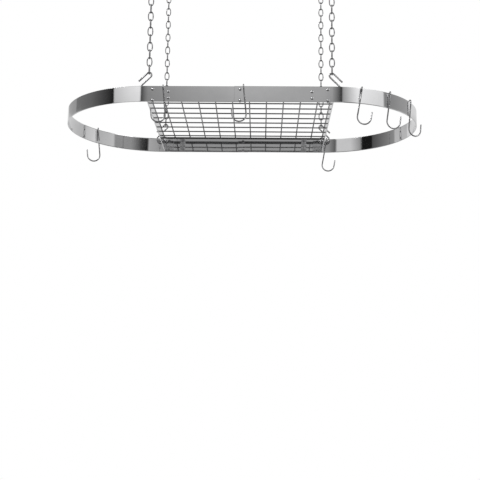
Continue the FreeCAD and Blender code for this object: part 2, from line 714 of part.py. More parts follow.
def hook_on_front(name, start):
    """Hang a pot hook on the straight front of the band, or over its lap."""
    along = size(f"{name}_distance")
    if start == "left_end":
        along -= arc_centre
    half_lap = size("lap_length") / 2
    sign = 1 if along > -half_lap else -1
    half_wall = size("band_wall") / 2
    if abs(along) < half_lap:
        half_wall += size("band_wall")
    place = Vector(along, sign * half_shift - band_middle, -drop)
    pot_hook(f"pot_hook_{name}", half_wall, 0, size(f"{name}_lean_angle"),
             int(size(f"{name}_way")), place, 0)


def hook_on_end(name, half):
    """Hang a pot hook on a rounded end of the band."""
    sign = 1 if half == "right" else -1
    angle = size(f"{name}_angle")
    centre = Vector(sign * arc_centre, sign * half_shift, -drop)
    place = centre + Rotation(Vector(0, 0, 1), angle).multVec(Vector(band_middle, 0, 0))
    pot_hook(f"pot_hook_{name}", size("band_wall") / 2, size(f"{name}_swivel_angle"),
             size(f"{name}_lean_angle"), int(size(f"{name}_way")), place, angle + 90)


# ---------------------------------------------------------------- the whole rack
for half, turn in HALF_TURNS.items():
    band_half(half, turn)
    cross_bar(half, turn)
for corner, (side_x, side_y) in CORNERS.items():
    grid_clip(corner, side_x, side_y)
    chain(corner, side_x, side_y)
    ceiling_hook(corner, side_x, side_y)
    chain_hook(corner, side_x, side_y)
wire_grid()
bolt_group("cross_bar", (-bar_bolt_place, bar_bolt_place), size("bar_bolt_gap"),
           size("band_wall") + size("bar_wall"))
bolt_group("band_lap", (0,), size("bar_bolt_gap"), 2 * size("band_wall"))
bolt_group("grid_clip", (-clip_place, clip_place), size("clip_bolt_gap"),
           size("band_wall") + size("clip_wall"))
for name, start, *_ in FRONT_HOOKS:
    hook_on_front(name, start)
for name, half, *_ in ROUND_HOOKS:
    hook_on_end(name, half)

# ---------------------------------------------------------------- check and write
doc.recompute()
for thing in doc.Objects:
    for state in ("Invalid", "Error"):
        if state in thing.State:
            raise RuntimeError(f"{thing.Name} is {state}")
os.makedirs("parts", exist_ok=True)
for label, thing in subparts.items():
    shape = thing.Shape
    if shape.isNull() or not shape.isValid() or not shape.Solids:
        raise RuntimeError(f"{label} has no valid solid")
    shape.exportStep(f"parts/{label}.step")
print(len(subparts), "sub-parts written")
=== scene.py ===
"""Looks of the hanging pot rack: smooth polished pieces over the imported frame, and the studio."""
import json
import math

import bpy
from mathutils import Matrix, Quaternion, Vector


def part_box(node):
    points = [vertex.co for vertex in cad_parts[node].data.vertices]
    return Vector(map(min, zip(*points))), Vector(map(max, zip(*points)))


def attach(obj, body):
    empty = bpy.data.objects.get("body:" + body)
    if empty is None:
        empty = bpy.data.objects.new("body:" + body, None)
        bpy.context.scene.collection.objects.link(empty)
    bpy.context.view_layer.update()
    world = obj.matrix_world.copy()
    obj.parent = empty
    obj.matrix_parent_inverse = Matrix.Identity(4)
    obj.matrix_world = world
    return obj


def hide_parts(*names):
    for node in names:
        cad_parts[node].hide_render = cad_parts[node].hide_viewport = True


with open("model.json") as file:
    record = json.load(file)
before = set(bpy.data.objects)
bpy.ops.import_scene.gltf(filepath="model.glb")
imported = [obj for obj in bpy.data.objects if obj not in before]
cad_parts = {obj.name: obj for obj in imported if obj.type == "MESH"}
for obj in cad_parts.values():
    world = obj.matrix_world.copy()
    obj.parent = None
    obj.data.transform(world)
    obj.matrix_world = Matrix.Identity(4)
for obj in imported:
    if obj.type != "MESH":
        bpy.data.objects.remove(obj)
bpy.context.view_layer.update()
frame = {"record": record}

# ---------------------------------------------------------------- sizes in metres, as in the CAD
# The band, of two halves that lap at the front and the rear.
BAND_LENGTH = 0.838
BAND_RADIUS = 0.215
BAND_HEIGHT = 0.036
WALL = 0.002
LAP = 0.026

# Cross bars, with a seat for the grid cut into their top.
BAR_PLACE = 0.207
BAR_HEIGHT = 0.0325
BAR_FLANGE = 0.024
BAR_BEND = 0.002
SEAT_REACH = 0.200
SEAT_STEP = 0.0002

# Clips, and the height above the band's middle at which the grid rests.
CLIP_PLACE = 0.159
CLIP_WIDTH = 0.014
CLIP_DROP = 0.0285
CLIP_REACH = 0.024
CLIP_BEND = 0.0008
CLIP_WALL = 0.0015
GRID_REST = 0.0113

# Bolts and nuts.
BOLT_SINK = 0.002
BAR_BOLT_PLACE = 0.194
BAR_BOLT_GAP = 0.025
CLIP_BOLT_GAP = 0.015
SHANK_RADIUS = 0.002
SHANK_SPARE = 0.0014
HEAD_RADIUS = 0.0033
HEAD_RISE = 0.0021
HEAD_STEPS = 8
BOLT_THREAD_PITCH = 0.0007
BOLT_THREAD_CREST = 0.3
BOLT_THREAD_ROOT = 0.65
BOLT_ROOT_SHARE = 0.86
BOLT_TIP_SHARE = 0.8
NUT_RADIUS = 0.004
NUT_HEIGHT = 0.0032
NUT_CHAMFER = 0.00035
BORE_SHARE = 0.95
BORE_CHAMFER = 0.0003
BORE_CHAMFER_SHARE = 1.15

# Wire grid.
GRID_LENGTH = 0.412
GRID_WIDTH = 0.388
GRID_CORNER = 0.012
RIM_RADIUS = 0.0025
GRID_WIRE = 0.0015
GRID_PITCH = 0.0392
GRID_COUNT = 10
REST_GAP = 0.0001

# Chains. The fullness is the power of the cosine and sine that draw a link's oval.
CHAIN_PLACE = (0.204, 0.203)
LINK_COUNT = 21
LINK_PITCH = 0.018
LINK_WIRE = 0.00125
LINK_WIDTH = 0.0108
LINK_GAP = 0.0002
LINK_FULLNESS = 0.88
LINK_WELD = 0.0018
LINK_WELD_SWELL = 0.14

# Ceiling hooks. Shares are of a radius, and the collar's profile is in shares of both its sizes.
CEILING_WIRE = 0.0025
CEILING_LOOP = 0.010
CEILING_DROP = 0.038
CEILING_BEND = 0.006
CEILING_LIP = 40
CEILING_OVERLAP = 0.001
COLLAR_RADIUS = 0.0065
COLLAR_HEIGHT = 0.0025
COLLAR_PROFILE = ((0.93, 0), (1, 0.2), (1, 0.6), (0.9, 0.9))
SCREW_LENGTH = 0.035
SCREW_NECK = 0.008
SCREW_NECK_SHARE = 0.98
SCREW_CORE_SHARE = 0.72
SCREW_TIP_SHARE = 0.1
SCREW_TIP_GAP = 0.0002
SCREW_TAPER = 0.008
THREAD_START = 0.0085
THREAD_END_GAP = 0.001
THREAD_PITCH = 0.0024
THREAD_STEPS = 20
THREAD_RUN_IN = 10
THREAD_LEAST = 0.05
THREAD_SUNK = 0.95
THREAD_HALF_WIDTH = 0.0006

# Chain hooks.
HANGER_WIRE = 0.002
HANGER_RISE = 0.047
HANGER_BEND = 0.0056
HANGER_KNEE = 0.008
HANGER_SLOPE = 45
HANGER_HOLE = 0.007
HANGER_FREE = 0.027
HANGER_TAIL_BEND = 0.003
HANGER_TAIL = 0.006
HANGER_INSET = 0.0035

# Pot hooks. The smooth wire is drawn a little thinner, so that it stays inside the CAD's box.
HOOK_WIRE = 0.0016
HOOK_GAP = 0.010
HOOK_INNER_LEG = 0.029
HOOK_OUTER_LEG = 0.064
HOOK_BEND = 0.0155
HOOK_FREE_LEG = 0.016
HOOK_SHRINK = 0.97
HOOK_EDGE_SHARE = 0.4

# Pot hooks: run of band, place on it (metres or degrees), swivel, lean, way of the lower bend.
POT_HOOKS = [
    ("front_left", "straight", -0.171, 0, 5.5, -1),
    ("front_middle", "straight", 0.0075, 0, 5.5, -1),
    ("right_first", "right", -72.2, -10, 10, 1),
    ("right_second", "right", -52.2, -25, 8, 1),
    ("right_third", "right", -30.5, -36, 5.5, 1),
    ("rear_left", "left", 140.8, -38, 6, 1),
    ("rear_right", "right", 86.0, 0, 10, -1),
]
CORNERS = {
    "front_left": (-1, -1),
    "front_right": (1, -1),
    "rear_left": (-1, 1),
    "rear_right": (1, 1),
}

# ---------------------------------------------------------------- fineness of the meshes
ARC_STEP = 7.5
BAND_ARC_STEP = 1.5
WIRE_SIDES = 16
LINK_SIDES = 12
LINK_STEPS = 40
TURNED_SIDES = 24
SCREW_SIDES = 16
COLLAR_SIDES = 32
DOME_ANGLES = (80, 55, 30)
DOME_RISE = 0.6
EDGE_ROUND = 0.00035
EDGE_ANGLES = (0, 30, 60, 90)
EDGE_SUPPORT = 3 * EDGE_ROUND
SHARP_ANGLE = math.radians(38)

# ---------------------------------------------------------------- looks of the metal
# Name, dark and pale base, least and most roughness, grain in each direction, strength of the
# fine lines, strength of the waves.
METALS = {
    "band_steel": ("mirror_band", (0.80, 0.80, 0.81), (0.88, 0.88, 0.885),
                   (0.02, 0.07), (4, 4, 900), 0.2, 0.25),
    "bar_steel": ("polished_bar", (0.74, 0.74, 0.75), (0.83, 0.83, 0.84),
                  (0.08, 0.18), (30, 4, 900), 0.4, 0.35),
    # The grid wire's base is much darker than the other plated wire. This is partly the plated
    # metal's tone and partly painted shade, standing in for the dark pots above the grid that the
    # wires would reflect and that are not in the scene.
    "grid_wire": ("plated_grid_wire_painted_shade", (0.18, 0.18, 0.185), (0.26, 0.26, 0.265),
                  (0.08, 0.17), (60, 60, 60), 0.2, 0.2),
    "hook_wire": ("plated_hook_wire", (0.48, 0.48, 0.49), (0.60, 0.60, 0.605),
                  (0.05, 0.12), (200, 200, 40), 0.1, 0.1),
    "chain_wire": ("plated_link_wire", (0.30, 0.30, 0.31), (0.40, 0.40, 0.405),
                   (0.07, 0.15), (300, 300, 300), 0.3, 0.2),
    "fastener_steel": ("plated_fastener", (0.62, 0.62, 0.63), (0.72, 0.72, 0.73),
                       (0.08, 0.16), (500, 500, 500), 0.3, 0.2),
}
# Scale and detail of each noise, and the values between which noise mostly stays.
POLISH_NOISE = (1.0, 3.0)
CLOUD_NOISE = (60.0, 4.0)
LINE_NOISE = (1.0, 2.0)
WAVE_NOISE = (14.0, 0.0)
NOISE_REACH = (0.3, 0.7)
LINE_DEPTH = 0.00002
WAVE_DEPTH = 0.001

# ---------------------------------------------------------------- camera, fitted to the picture
CAMERA_PLACE = (0.04853, -2.35782, -1.16948)
CAMERA_PITCH = 10.0
CAMERA_YAW = -1.2
CAMERA_ROLL = 0.69
FOCAL_PIXELS = 1010.4
IMAGE_PIXELS = 480
SENSOR = 36.0

# ---------------------------------------------------------------- studio
# Two rings of graded cards that polished metal sees around it. Each card runs from one compass
# direction to the next, in degrees, and from one grey to the other. 0 is behind the camera, 90
# the right of the rack and 180 behind it. The lower ring is what the inside of the band sees.
UPPER_RING = [
    (-180, -153, 0.75, 0.90), (-153, -120, 0.45, 0.35), (-120, -90, 0.20, 0.15),
    (-90, -51, 0.15, 0.01), (-51, -16.5, 0.60, 0.90), (-16.5, -1, 0.05, 0.45),
    (-1, 5, 0.45, 0.40), (5, 16.5, 0.30, 0.01), (16.5, 36, 0.35, 0.95), (36, 73, 0.95, 0.80),
    (73, 122, 0.25, 0.40), (122, 180, 0.80, 0.75),
]
LOWER_RING = [
    (-180, -137, 0.70, 0.75), (-137, -107, 0.55, 0.55), (-107, -68, 0.30, 0.08),
    (-68, -52, 0.01, 0.01), (-52, -36, 0.30, 0.65), (-36, -17, 0.65, 0.65),
    (-17, -6, 0.10, 0.30), (-6, 18, 0.30, 0.45), (18, 26, 0.01, 0.05), (26, 42, 0.05, 0.30),
    (42, 66, 0.30, 0.30), (66, 96, 0.60, 0.50), (96, 118, 0.75, 0.60), (118, 180, 0.50, 0.70),
]
CARD_JOINT = 1.0
# Where the rings meet, as the sine of the angle above level.
RINGS_MEET = (0.281, 0.291)
# The share of that grey that is left at each height, by the same measure.
HEIGHTS = [
    (-1.0, 0.12), (-0.75, 0.16), (-0.45, 0.85), (-0.1, 0.95), (0.17, 0.95), (0.25, 1.0),
    (0.305, 0.93), (0.321, 1.07), (0.45, 1.0), (0.6, 0.30), (1.0, 0.14),
]
# A colour ramp holds greys up to 1, so it holds the shares divided by this.
HEIGHTS_SCALE = 2
DIFFUSE_GREY = 0.8
FLOOR_HEIGHT = -1.95
FLOOR_SIZE = 8.0
FLOOR_GREY = 0.9
FLOOR_ROUGHNESS = 0.9
# The floor turns to plain white between these distances from the rack's middle.
FLOOR_FADE = (0.8, 3.6)

# Soft lamps: place, the point at the band's height that it faces, size, power.
LAMPS = {
    "key_lamp": ((-2.3, -1.4, 1.9), (0, 0), 1.0, 24),
    "fill_lamp": ((1.6, -1.2, 1.2), (0, 0), 1.2, 8),
    "near_lamp": ((-0.75, -0.75, 0.85), (0, -0.2), 0.8, 7),
}
NEAR_LAMP_SLOT = "fastener_steel"

# ---------------------------------------------------------------- places from the frame
X = Vector((1, 0, 0))
Y = Vector((0, 1, 0))
Z = Vector((0, 0, 1))

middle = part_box("band_right")[1].z - BAND_HEIGHT / 2
arc_centre = BAND_LENGTH / 2 - BAND_RADIUS
# The right half lies half a wall to the front and the left half as far to the rear, so they lap.
half_shift = -WALL / 2
band_middle = BAND_RADIUS - WALL / 2

node_body = {
    node: body
    for body, nodes in frame["record"]["behaviour"]["bodies"].items()
    for node in nodes
}
node_slot = {entry["node"]: entry["material_slot"] for entry in frame["record"]["subparts"]}


# ---------------------------------------------------------------- shader nodes
def feed(tree, socket, value):
    """Link an output to a socket, or set the socket to a plain value."""
    if isinstance(value, bpy.types.NodeSocket):
        tree.links.new(value, socket)
    else:
        socket.default_value = value


def noise(tree, vector, scale, detail):
    """Noise over a vector."""
    node = tree.nodes.new("ShaderNodeTexNoise")
    node.inputs["Scale"].default_value = scale
    node.inputs["Detail"].default_value = detail
    feed(tree, node.inputs["Vector"], vector)
    return node.outputs["Fac"]


def ranged(tree, value, source, result=(0, 1), interpolation="LINEAR"):
    """A value mapped from one range to another."""
    node = tree.nodes.new("ShaderNodeMapRange")
    node.interpolation_type = interpolation
    node.inputs["From Min"].default_value = source[0]
    node.inputs["From Max"].default_value = source[1]
    node.inputs["To Min"].default_value = result[0]
    node.inputs["To Max"].default_value = result[1]
    feed(tree, node.inputs["Value"], value)
    return node.outputs["Result"]


def mixed(tree, share, first, second):
    """A colour between two colours."""
    node = tree.nodes.new("ShaderNodeMix")
    node.data_type = "RGBA"
    feed(tree, node.inputs["Factor"], share)
    feed(tree, node.inputs["A"], first)
    feed(tree, node.inputs["B"], second)
    return node.outputs["Result"]


def calculated(tree, operation, first, second):
    """The result of a math node."""
    node = tree.nodes.new("ShaderNodeMath")
    node.operation = operation
    feed(tree, node.inputs[0], first)
    feed(tree, node.inputs[1], second)
    return node.outputs["Value"]


def vector_node(tree, operation, *values):
    """The outputs of a vector math node."""
    node = tree.nodes.new("ShaderNodeVectorMath")
    node.operation = operation
    for socket, value in zip(node.inputs, values):
        feed(tree, socket, value)
    return node.outputs


def bump(tree, height, strength, distance, normal=None):
    """A normal that follows a height."""
    node = tree.nodes.new("ShaderNodeBump")
    node.inputs["Strength"].default_value = strength
    node.inputs["Distance"].default_value = distance
    feed(tree, node.inputs["Height"], height)
    if normal:
        feed(tree, node.inputs["Normal"], normal)
    return node.outputs["Normal"]


def grey_ramp(tree, value, stops, low, high):
    """The grey at a value, between grey stops whose places run from low to high."""
    ramp = tree.nodes.new("ShaderNodeValToRGB")
    elements = ramp.color_ramp.elements
    while len(elements) < len(stops):
        elements.new(0.5)
    for element, (place, _) in zip(elements, stops):
        element.position = (place - low) / (high - low)
    for element, (_, grey) in zip(elements, stops):
        element.color = (grey, grey, grey, 1)
    feed(tree, ramp.inputs["Fac"], value)
    return ramp.outputs["Color"]


# ---------------------------------------------------------------- materials
def metal(name, dark, pale, roughness, grain, lines, waviness):
    """Polished metal: colour clouds, uneven polish, fine drawn lines and slight waviness."""
    material = bpy.data.materials.new(name)
    material.use_nodes = True
    tree = material.node_tree
    shader = tree.nodes["Principled BSDF"]
    shader.inputs["Metallic"].default_value = 1.0
    place = tree.nodes.new("ShaderNodeTexCoord").outputs["Object"]
    stretched = tree.nodes.new("ShaderNodeMapping")
    stretched.inputs["Scale"].default_value = grain
    feed(tree, stretched.inputs["Vector"], place)
    fine = stretched.outputs["Vector"]

    polish = ranged(tree, noise(tree, fine, *POLISH_NOISE), NOISE_REACH, roughness)
    feed(tree, shader.inputs["Roughness"], polish)
    tint = mixed(tree, noise(tree, place, *CLOUD_NOISE), (*dark, 1), (*pale, 1))
    feed(tree, shader.inputs["Base Color"], tint)
    drawn = bump(tree, noise(tree, fine, *LINE_NOISE), lines, LINE_DEPTH)
    waves = bump(tree, noise(tree, place, *WAVE_NOISE), waviness, WAVE_DEPTH, drawn)
    feed(tree, shader.inputs["Normal"], waves)
    return material


materials = {slot: metal(*look) for slot, look in METALS.items()}


# ---------------------------------------------------------------- pieces
def piece(node, mesh):
    """A finished piece in place of a CAD node."""
    mesh.validate()
    mesh.shade_smooth()
    mesh.set_sharp_from_angle(angle=SHARP_ANGLE)
    made = bpy.data.objects.new(f"{node}_finish", mesh)
    bpy.context.scene.collection.objects.link(made)
    made.data.materials.append(materials[node_slot[node]])
    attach(made, node_body[node])
    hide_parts(node)


def joined(name, parts):
    """One mesh from several (points, faces) pairs."""
    points = []
    faces = []
    for part_points, part_faces in parts:
        start = len(points)
        points += part_points
        faces += [tuple(start + corner for corner in face) for face in part_faces]
    mesh = bpy.data.meshes.new(name)
    mesh.from_pydata([tuple(point) for point in points], [], faces)
    return mesh


def moved(part, matrix):
    """A copy of (points, faces) moved by a matrix."""
    points, faces = part
    return [matrix @ point for point in points], faces


def skin(rings, closed=False):
    """Points and faces over rings of as many points each, with flat ends unless closed."""
    count = len(rings)
    sides = len(rings[0])
    points = [point for ring in rings for point in ring]
    faces = []
    for index in range(count if closed else count - 1):
        near = index * sides
        far = (index + 1) % count * sides
        for side in range(sides):
            after = (side + 1) % sides
            faces.append((near + side, near + after, far + after, far + side))
    if not closed:
        faces.append(tuple(reversed(range(sides))))
        faces.append(tuple(range((count - 1) * sides, count * sides)))
    return points, faces


def turn_about_z(degrees):
    """A turn about the upright axis."""
    return Matrix.Rotation(math.radians(degrees), 4, "Z")


def arc(centre, start, axis, turn, step=ARC_STEP):
    """Points from centre + start, turned about axis by turn degrees."""
    count = max(2, math.ceil(abs(turn) / step))
    points = []
    for index in range(count + 1):
        spin = Quaternion(axis, math.radians(turn * index / count))
        points.append(centre + spin @ start)
    return points


def rounded(corners, radii):
    """A path through corner points, each inner corner rounded by an arc of its radius."""
    path = [corners[0]]
    for index, radius in enumerate(radii, start=1):
        arriving = (corners[index] - corners[index - 1]).normalized()
        leaving = (corners[index + 1] - corners[index]).normalized()
        turn = arriving.angle(leaving)
        axis = arriving.cross(leaving).normalized()
        start = corners[index] - arriving * (radius * math.tan(turn / 2))
        inward = axis.cross(arriving)
        centre = start + inward * radius
        path += arc(centre, start - centre, axis, math.degrees(turn))
    path.append(corners[-1])
    return path


def directions(path, closed):
    """The direction of travel at each point of a path."""
    count = len(path)
    result = []
    for index in range(count):
        before = path[index - 1] if (closed or index > 0) else path[0]
        after = path[(index + 1) % count] if (closed or index < count - 1) else path[-1]
        result.append((after - before).normalized())
    return result


def domed(stations, radius):
    """Stations (point, share of the radius, direction) with a dome at both ends."""
    for place, sign in ((0, 1), (-1, -1)):
        point, _, way = stations[place]
        dome = []
        for angle in DOME_ANGLES:
            narrow = math.cos(math.radians(angle))
            back = radius * DOME_RISE * (1 - math.sin(math.radians(angle)))
            dome.append((point + way * (sign * back), narrow, way))
        dome.append((point + way * (sign * radius * DOME_RISE), 1.0, way))
        if place == 0:
            stations = dome + stations[1:]
        else:
            stations = stations[:-1] + dome[::-1]
    return stations


def wire(path, normal, radius, sides=WIRE_SIDES, closed=False, swell=None):
    """A round wire along a flat path whose plane has the given normal; open ends are domed."""
    stations = [(point, 1.0, way) for point, way in zip(path, directions(path, closed))]
    if not closed:
        stations = domed(stations, radius)
    rings = []
    for index, (point, share, way) in enumerate(stations):
        across = way.cross(normal).normalized()
        reach = radius * share * (swell[index] if swell else 1.0)
        ring = []
        for side in range(sides):
            angle = 2 * math.pi * side / sides
            ring.append(point + normal * (reach * math.cos(angle))
                        + across * (reach * math.sin(angle)))
        rings.append(ring)
    return skin(rings, closed)


def strip_section(half_wall, half_width):
    """The outline of a strip with rounded edges, as (off the wall's middle, across) pairs."""
    section = []
    for sign_n, sign_w, first in ((1, -1, 270), (1, 1, 0), (-1, 1, 90), (-1, -1, 180)):
        corner = []
        for angle in EDGE_ANGLES:
            turned_by = math.radians(first + angle)
            corner.append((
                sign_n * (half_wall - EDGE_ROUND) + EDGE_ROUND * math.cos(turned_by),
                sign_w * (half_width - EDGE_ROUND) + EDGE_ROUND * math.sin(turned_by),
            ))
        inner = (sign_n * half_wall, sign_w * (half_width - EDGE_ROUND - EDGE_SUPPORT))
        section += corner + [inner] if sign_n * sign_w < 0 else [inner] + corner
    return section


def strip(path, width_axis, half_width, wall=WALL):
    """A flat strip with rounded edges along the middle of its wall."""
    half_wall = wall / 2
    section = strip_section(half_wall, half_width)
    stations = []
    ends = {0: 1, len(path) - 1: -1}
    for index, (point, way) in enumerate(zip(path, directions(path, False))):
        if ends.get(index) == 1:
            stations.append((point, way, EDGE_ROUND))
        shift = ends.get(index, 0) * EDGE_ROUND
        stations.append((point + way * shift, way, 0))
        if ends.get(index) == -1:
            stations.append((point, way, EDGE_ROUND))
    rings = []
    for point, way, shrink in stations:
        outward = way.cross(width_axis).normalized()
        ring = []
        for off, wide in section:
            off_share = off * (1 - shrink / half_wall)
            wide_share = wide * (1 - shrink / half_width)
            ring.append(point + outward * off_share + width_axis * wide_share)
        rings.append(ring)
    return skin(rings)


def turned(profile, sides=TURNED_SIDES):
    """A turned piece about +Y from (radius, place) pairs."""
    rings = []
    for radius, place in profile:
        ring = []
        for side in range(sides):
            angle = 2 * math.pi * side / sides
            ring.append(Vector((radius * math.cos(angle), place, radius * math.sin(angle))))
        rings.append(ring)
    return skin(rings)


# ---------------------------------------------------------------- band, bars and clips
def band_half(half, turn):
    """Half of the band: from its front lap round the end to its rear lap."""
    centre = Vector((arc_centre, half_shift, 0))
    lap_end = -LAP / 2
    front = half_shift - band_middle
    rear = half_shift + band_middle
    path = [Vector((lap_end, front, 0)), Vector((0, front, 0))]
    path += arc(centre, Vector((0, -band_middle, 0)), Z, 180, BAND_ARC_STEP)
    path += [Vector((0, rear, 0)), Vector((lap_end, rear, 0))]
    place = Matrix.Translation((0, 0, middle)) @ turn_about_z(turn)
    part = moved(strip(path, Z, BAND_HEIGHT / 2), place)
    piece(f"band_{half}", joined(f"band_{half}_mesh", [part]))


def cross_bar(half, turn):
    """A strip across the band, its ends turned inward and its top cut down for the grid."""
    line = BAR_PLACE - WALL / 2
    front = half_shift - (BAND_RADIUS - WALL) + WALL / 2
    rear = half_shift + (BAND_RADIUS - WALL) - WALL / 2
    free = BAR_PLACE - BAR_FLANGE
    corners = [Vector((free, front, 0)), Vector((line, front, 0)), Vector((line, rear, 0)),
               Vector((free, rear, 0))]
    bend = BAR_BEND + WALL / 2
    path = rounded(corners, [bend, bend])
    cut = [Vector((line, y, 0)) for y in (-SEAT_REACH - SEAT_STEP, -SEAT_REACH, SEAT_REACH,
                                          SEAT_REACH + SEAT_STEP)]
    path = path[:len(path) // 2] + cut + path[len(path) // 2:]
    points, faces = strip(path, Z, BAR_HEIGHT / 2)
    for point in points:
        if point.z > 0 and abs(point.y) < SEAT_REACH + SEAT_STEP / 2:
            point.z -= BAR_HEIGHT / 2 - GRID_REST
    place = Matrix.Translation((0, 0, middle)) @ turn_about_z(turn)
    part = moved((points, faces), place)
    piece(f"cross_bar_{half}", joined(f"cross_bar_{half}_mesh", [part]))


def grid_clip(corner, side_x, side_y):
    """An angle of strip bolted inside the band."""
    face = BAND_RADIUS - WALL + half_shift * side_x * side_y - CLIP_WALL / 2
    level = GRID_REST - CLIP_WALL / 2
    corners = [Vector((0, face, GRID_REST - CLIP_DROP)), Vector((0, face, level)),
               Vector((0, face + CLIP_WALL / 2 - CLIP_REACH, level))]
    path = rounded(corners, [CLIP_BEND + CLIP_WALL / 2])
    place = (Matrix.Translation((side_x * CLIP_PLACE, 0, middle))
             @ turn_about_z(0 if side_y > 0 else 180))
    part = moved(strip(path, X, CLIP_WIDTH / 2, CLIP_WALL), place)
    piece(f"grid_clip_{corner}", joined(f"grid_clip_{corner}_mesh", [part]))


# ---------------------------------------------------------------- bolts and nuts
def bolt(grip):
    """A domed bolt along +Y with a rolled thread at its end."""
    ball = (HEAD_RADIUS ** 2 + HEAD_RISE ** 2) / (2 * HEAD_RISE)
    edge = math.asin(HEAD_RADIUS / ball)
    profile = []
    for step in range(1, HEAD_STEPS + 1):
        angle = edge * step / HEAD_STEPS
        profile.append((ball * math.sin(angle), ball - HEAD_RISE - ball * math.cos(angle)))
    profile += [(SHANK_RADIUS, 0), (SHANK_RADIUS, grip)]
    length = grip + NUT_HEIGHT + SHANK_SPARE
    place = grip
    while place + BOLT_THREAD_PITCH < length:
        crest = place + BOLT_THREAD_CREST * BOLT_THREAD_PITCH
        root = place + BOLT_THREAD_ROOT * BOLT_THREAD_PITCH
        profile += [(SHANK_RADIUS, crest), (SHANK_RADIUS * BOLT_ROOT_SHARE, root)]
        place += BOLT_THREAD_PITCH
    profile.append((SHANK_RADIUS * BOLT_TIP_SHARE, length))
    return turned(profile)


def nut(grip):
    """A hexagon nut along +Y with chamfered corners and a chamfered bore."""
    flat = NUT_RADIUS * math.cos(math.radians(30))
    bore = SHANK_RADIUS * BORE_SHARE
    mouth = bore * BORE_CHAMFER_SHARE
    rings = []
    for limit, place in ((bore, BORE_CHAMFER), (mouth, 0), (flat, 0), (NUT_RADIUS, NUT_CHAMFER),
                         (NUT_RADIUS, NUT_HEIGHT - NUT_CHAMFER), (flat, NUT_HEIGHT),
                         (mouth, NUT_HEIGHT), (bore, NUT_HEIGHT - BORE_CHAMFER)):
        ring = []
        for side in range(TURNED_SIDES):
            angle = 360 * side / TURNED_SIDES
            hexagon = flat / math.cos(math.radians(angle % 60 - 30))
            reach = min(limit, hexagon)
            ring.append(Vector((reach * math.cos(math.radians(angle)), grip + place,
                                reach * math.sin(math.radians(angle)))))
        rings.append(ring)
    return skin(rings, closed=True)


def bolt_group(name, along, gap, grip):
    """Bolts and nuts of one kind of joint, in the front and the rear of the band."""
    places = []
    for x in along:
        for side_y in (-1, 1):
            outside_half = 1 if (x > 0 or (x == 0 and side_y < 0)) else -1
            face = BAND_RADIUS + half_shift * outside_half * side_y
            for sign in (1, -1):
                place = Vector((x, side_y * face, middle + sign * gap / 2 - BOLT_SINK))
                turn = turn_about_z(0 if side_y < 0 else 180)
                places.append(Matrix.Translation(place) @ turn)
    for kind, part in (("bolts", bolt(grip)), ("nuts", nut(grip))):
        copies = [moved(part, place) for place in places]
        piece(f"{name}_{kind}", joined(f"{name}_{kind}_mesh", copies))


# ---------------------------------------------------------------- wire grid
def wire_grid():
    """A rim of heavier wire, with long wires lying on cross wires inside it."""
    half_x = GRID_LENGTH / 2
    half_y = GRID_WIDTH / 2
    level = middle + GRID_REST + REST_GAP + RIM_RADIUS
    path = []
    for sign_x, sign_y, start in ((1, 1, 0), (-1, 1, 90), (-1, -1, 180), (1, -1, 270)):
        centre = Vector((sign_x * (half_x - GRID_CORNER), sign_y * (half_y - GRID_CORNER), level))
        first = turn_about_z(start) @ Vector((GRID_CORNER, 0, 0))
        path += arc(centre, first, Z, 90)
    piece("grid_rim", joined("grid_rim_mesh", [wire(path, Z, RIM_RADIUS, closed=True)]))
    upper = level + GRID_WIRE
    lower = level - GRID_WIRE
    long_wires = []
    cross_wires = []
    for index in range(GRID_COUNT):
        place = GRID_PITCH * (index - (GRID_COUNT - 1) / 2)
        ends = [Vector((-half_x, place, upper)), Vector((half_x, place, upper))]
        long_wires.append(wire(ends, Z, GRID_WIRE))
        ends = [Vector((place, -half_y, lower)), Vector((place, half_y, lower))]
        cross_wires.append(wire(ends, Z, GRID_WIRE))
    piece("grid_long_wires", joined("grid_long_wires_mesh", long_wires))
    piece("grid_cross_wires", joined("grid_cross_wires_mesh", cross_wires))


# ---------------------------------------------------------------- chains
def oval(value):
    """A cosine or sine taken to the link's fullness, with its sign kept."""
    return math.copysign(abs(value) ** LINK_FULLNESS, value)


def link():
    """One oval link in the XZ plane, its top wire centre at the origin, with a butt weld."""
    half_width = LINK_WIDTH / 2
    half_length = (LINK_PITCH + LINK_GAP + 2 * LINK_WIRE) / 2
    path = []
    swell = []
    for step in range(LINK_STEPS):
        angle = 2 * math.pi * step / LINK_STEPS
        wide = oval(math.cos(angle))
        high = oval(math.sin(angle))
        path.append(Vector((half_width * wide, 0, half_length * (high - 1))))
        near_weld = max(0.0, 1 - abs(high) * half_length / LINK_WELD) * (wide > 0)
        swell.append(1 + LINK_WELD_SWELL * near_weld)
    return wire(path, Y, LINK_WIRE, LINK_SIDES, closed=True, swell=swell)


def chain(corner, side_x, side_y):
    """Links turned by a quarter each time."""
    top = CEILING_WIRE + LINK_WIRE + LINK_GAP - CEILING_DROP
    shape = link()
    links = []
    for index in range(LINK_COUNT):
        place = Vector((side_x * CHAIN_PLACE[0], side_y * CHAIN_PLACE[1],
                        top - index * LINK_PITCH))
        turn = turn_about_z(90 if index % 2 == 0 else 0)
        links.append(moved(shape, Matrix.Translation(place) @ turn))
    piece(f"top_link_{corner}", joined(f"top_link_{corner}_mesh", links[:1]))
    piece(f"chain_{corner}", joined(f"chain_{corner}_mesh", links[1:-1]))
    piece(f"bottom_link_{corner}", joined(f"bottom_link_{corner}_mesh", links[-1:]))


# ---------------------------------------------------------------- ceiling hooks
def screw_core(core):
    """The neck, core and point of a wood screw, along +Y."""
    neck = CEILING_WIRE * SCREW_NECK_SHARE
    return turned([(neck, 0), (neck, SCREW_NECK), (core, THREAD_START),
                   (core, SCREW_LENGTH - SCREW_TAPER),
                   (core * SCREW_TIP_SHARE, SCREW_LENGTH - SCREW_TIP_GAP)], SCREW_SIDES)


